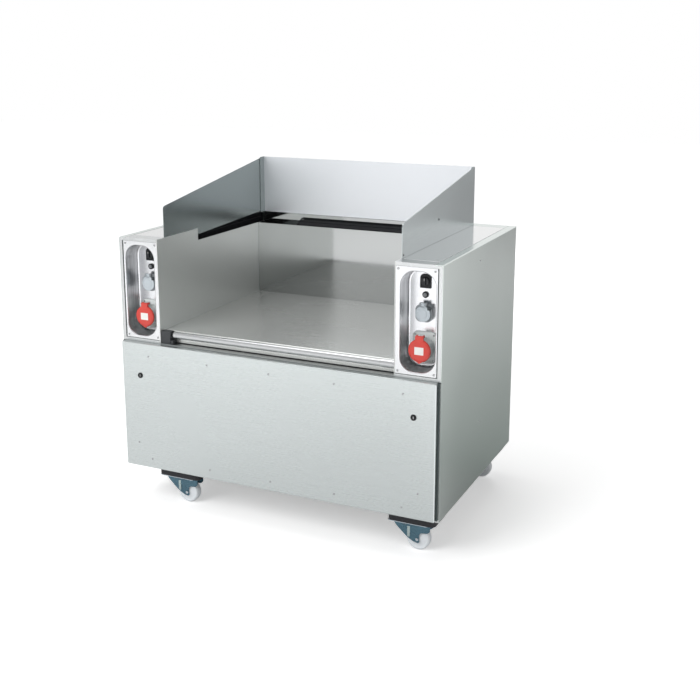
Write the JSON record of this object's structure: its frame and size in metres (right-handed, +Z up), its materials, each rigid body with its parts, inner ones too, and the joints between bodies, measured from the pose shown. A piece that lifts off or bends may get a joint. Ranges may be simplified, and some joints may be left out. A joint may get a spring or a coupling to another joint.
{
  "type": "mobile front cooking station",
  "caption": "Mobile stainless-steel cooking station on casters: open appliance bay, splash guard, suction slots, recessed power-outlet consoles and a lift-off front panel.",
  "frame": {"origin": "on the floor under the middle of the whole object", "axes": "+X to the user's right when facing the station, +Y from the front panel to the rear, +Z up"},
  "size_m": [1.1132, 0.7538, 1.1],
  "materials": {
    "satin_steel": "fine grain, satin",
    "bright_steel": "fine grain, semi-bright",
    "zinc_steel": "blue-grey zinc plate",
    "black_plastic": "matt black",
    "black_lock": "black quarter-turn head",
    "bracket_black": "dark satin paint",
    "mount_black": "matt black paint",
    "grey_plastic": "light grey, satin",
    "pale_plastic": "off-white, satin",
    "red_plastic": "red, satin",
    "wheel_nylon": "bluish white nylon",
    "blower_paint": "dark blue satin paint",
    "motor_paint": "dark satin paint",
    "box_grey": "light grey"
  },
  "bodies": {
    "cabinet": {"base_tray": "satin_steel", "side_panel_left": "satin_steel", "side_panel_right": "satin_steel", "rear_panel": "satin_steel", "pillar_front_left": "satin_steel", "pillar_front_right": "satin_steel", "front_post_left": "satin_steel", "front_post_right": "satin_steel", "bay_wall_left": "satin_steel", "bay_wall_right": "satin_steel", "bay_wall_rear": "bright_steel", "bay_floor": "satin_steel", "front_ledge": "satin_steel", "front_rail": "bright_steel", "rail_bracket_left": "bracket_black", "rail_bracket_right": "bracket_black", "guard_wing_left": "satin_steel", "guard_wing_right": "satin_steel", "guard_rear": "bright_steel", "console_left": "bright_steel", "console_right": "bright_steel", "switch_plate_left": "black_plastic", "switch_plate_right": "black_plastic", "button_collar_left": "black_plastic", "button_collar_right": "black_plastic", "small_socket_left": "grey_plastic", "small_socket_right": "grey_plastic", "big_socket_left": "pale_plastic", "big_socket_right": "pale_plastic", "caster_mount_front_left": "mount_black", "caster_mount_front_right": "mount_black", "caster_mount_rear_left": "mount_black", "caster_mount_rear_right": "mount_black", "blower_housing": "blower_paint", "blower_motor": "motor_paint", "filter_cassette": "satin_steel", "electric_box": "box_grey", "cable_gland": "black_plastic"},
    "front_panel": {"front_panel": "satin_steel"},
    "panel_lock_left": {"panel_lock_left": "black_lock"},
    "top_cover_left": {"top_cover_left": "satin_steel"},
    "switch_knob_left": {"switch_knob_left": "black_plastic"},
    "reset_button_left": {"reset_button_left": "grey_plastic"},
    "small_lid_left": {"small_lid_left": "grey_plastic"},
    "big_lid_left": {"big_lid_left": "red_plastic"},
    "panel_lock_right": {"panel_lock_right": "black_lock"},
    "top_cover_right": {"top_cover_right": "satin_steel"},
    "switch_knob_right": {"switch_knob_right": "black_plastic"},
    "reset_button_right": {"reset_button_right": "grey_plastic"},
    "small_lid_right": {"small_lid_right": "grey_plastic"},
    "big_lid_right": {"big_lid_right": "red_plastic"},
    "caster_fork_front_left": {"caster_fork_front_left": "zinc_steel"},
    "caster_wheel_front_left": {"caster_wheel_front_left": "wheel_nylon"},
    "caster_fork_front_right": {"caster_fork_front_right": "zinc_steel"},
    "caster_wheel_front_right": {"caster_wheel_front_right": "wheel_nylon"},
    "caster_fork_rear_left": {"caster_fork_rear_left": "zinc_steel"},
    "caster_wheel_rear_left": {"caster_wheel_rear_left": "wheel_nylon"},
    "caster_fork_rear_right": {"caster_fork_rear_right": "zinc_steel"},
    "caster_wheel_rear_right": {"caster_wheel_rear_right": "wheel_nylon"},
    "blower_impeller": {"blower_impeller": "satin_steel"}
  },
  "joints": [
    {"name": "front_panel_pull_off", "type": "slide", "parent": "cabinet", "child": "front_panel", "axis": [0, -1, 0], "range_m": [0, 0.3]},
    {"name": "panel_lock_left_turn", "type": "hinge", "parent": "front_panel", "child": "panel_lock_left", "pos_m": [-0.479, -0.37365, 0.4475], "axis": [0, 1, 0], "range_deg": [0, 90]},
    {"name": "top_cover_left_lift", "type": "slide", "parent": "cabinet", "child": "top_cover_left", "axis": [0, 0, 1], "range_m": [0, 0.1]},
    {"name": "switch_knob_left_turn", "type": "hinge", "parent": "cabinet", "child": "switch_knob_left", "pos_m": [-0.479, -0.29325, 0.8365], "axis": [0, 1, 0], "range_deg": [0, 90]},
    {"name": "reset_button_left_press", "type": "slide", "parent": "cabinet", "child": "reset_button_left", "axis": [0, 1, 0], "range_m": [0, 0.003], "stiffness_N_per_m": 300},
    {"name": "small_lid_left_open", "type": "hinge", "parent": "cabinet", "child": "small_lid_left", "pos_m": [-0.479, -0.30795, 0.7724], "axis": [-1, 0, 0], "range_deg": [0, 110], "stiffness_Nm_per_rad": 0.002, "springref_deg": -28.65},
    {"name": "big_lid_left_open", "type": "hinge", "parent": "cabinet", "child": "big_lid_left", "pos_m": [-0.479, -0.32645, 0.6795], "axis": [-1, 0, 0], "range_deg": [0, 95], "stiffness_Nm_per_rad": 0.012, "springref_deg": -22.92},
    {"name": "panel_lock_right_turn", "type": "hinge", "parent": "front_panel", "child": "panel_lock_right", "pos_m": [0.479, -0.37365, 0.4475], "axis": [0, -1, 0], "range_deg": [0, 90]},
    {"name": "top_cover_right_lift", "type": "slide", "parent": "cabinet", "child": "top_cover_right", "axis": [0, 0, 1], "range_m": [0, 0.1]},
    {"name": "switch_knob_right_turn", "type": "hinge", "parent": "cabinet", "child": "switch_knob_right", "pos_m": [0.479, -0.29325, 0.8365], "axis": [0, 1, 0], "range_deg": [0, 90]},
    {"name": "reset_button_right_press", "type": "slide", "parent": "cabinet", "child": "reset_button_right", "axis": [0, 1, 0], "range_m": [0, 0.003], "stiffness_N_per_m": 300},
    {"name": "small_lid_right_open", "type": "hinge", "parent": "cabinet", "child": "small_lid_right", "pos_m": [0.479, -0.30795, 0.7724], "axis": [-1, 0, 0], "range_deg": [0, 110], "stiffness_Nm_per_rad": 0.002, "springref_deg": -28.65},
    {"name": "big_lid_right_open", "type": "hinge", "parent": "cabinet", "child": "big_lid_right", "pos_m": [0.479, -0.32645, 0.6795], "axis": [-1, 0, 0], "range_deg": [0, 95], "stiffness_Nm_per_rad": 0.012, "springref_deg": -22.92},
    {"name": "caster_front_left_swivel", "type": "hinge", "parent": "cabinet", "child": "caster_fork_front_left", "pos_m": [-0.373, -0.29565, 0.1], "axis": [0, 0, 1], "continuous": true},
    {"name": "caster_front_left_roll", "type": "hinge", "parent": "caster_fork_front_left", "child": "caster_wheel_front_left", "pos_m": [-0.353, -0.29565, 0.0375], "axis": [0, 1, 0], "continuous": true},
    {"name": "caster_front_right_swivel", "type": "hinge", "parent": "cabinet", "child": "caster_fork_front_right", "pos_m": [0.453, -0.29565, 0.1], "axis": [0, 0, 1], "continuous": true},
    {"name": "caster_front_right_roll", "type": "hinge", "parent": "caster_fork_front_right", "child": "caster_wheel_front_right", "pos_m": [0.473, -0.29565, 0.0375], "axis": [0, 1, 0], "continuous": true},
    {"name": "caster_rear_left_swivel", "type": "hinge", "parent": "cabinet", "child": "caster_fork_rear_left", "pos_m": [-0.373, 0.31735, 0.1], "axis": [0, 0, 1], "continuous": true},
    {"name": "caster_rear_left_roll", "type": "hinge", "parent": "caster_fork_rear_left", "child": "caster_wheel_rear_left", "pos_m": [-0.353, 0.31735, 0.0375], "axis": [0, 1, 0], "continuous": true},
    {"name": "caster_rear_right_swivel", "type": "hinge", "parent": "cabinet", "child": "caster_fork_rear_right", "pos_m": [0.453, 0.31735, 0.1], "axis": [0, 0, 1], "continuous": true},
    {"name": "caster_rear_right_roll", "type": "hinge", "parent": "caster_fork_rear_right", "child": "caster_wheel_rear_right", "pos_m": [0.473, 0.31735, 0.0375], "axis": [0, 1, 0], "continuous": true},
    {"name": "blower_spin", "type": "hinge", "parent": "cabinet", "child": "blower_impeller", "pos_m": [0.225, 0.06035, 0.33], "axis": [1, 0, 0], "continuous": true}
  ]
}
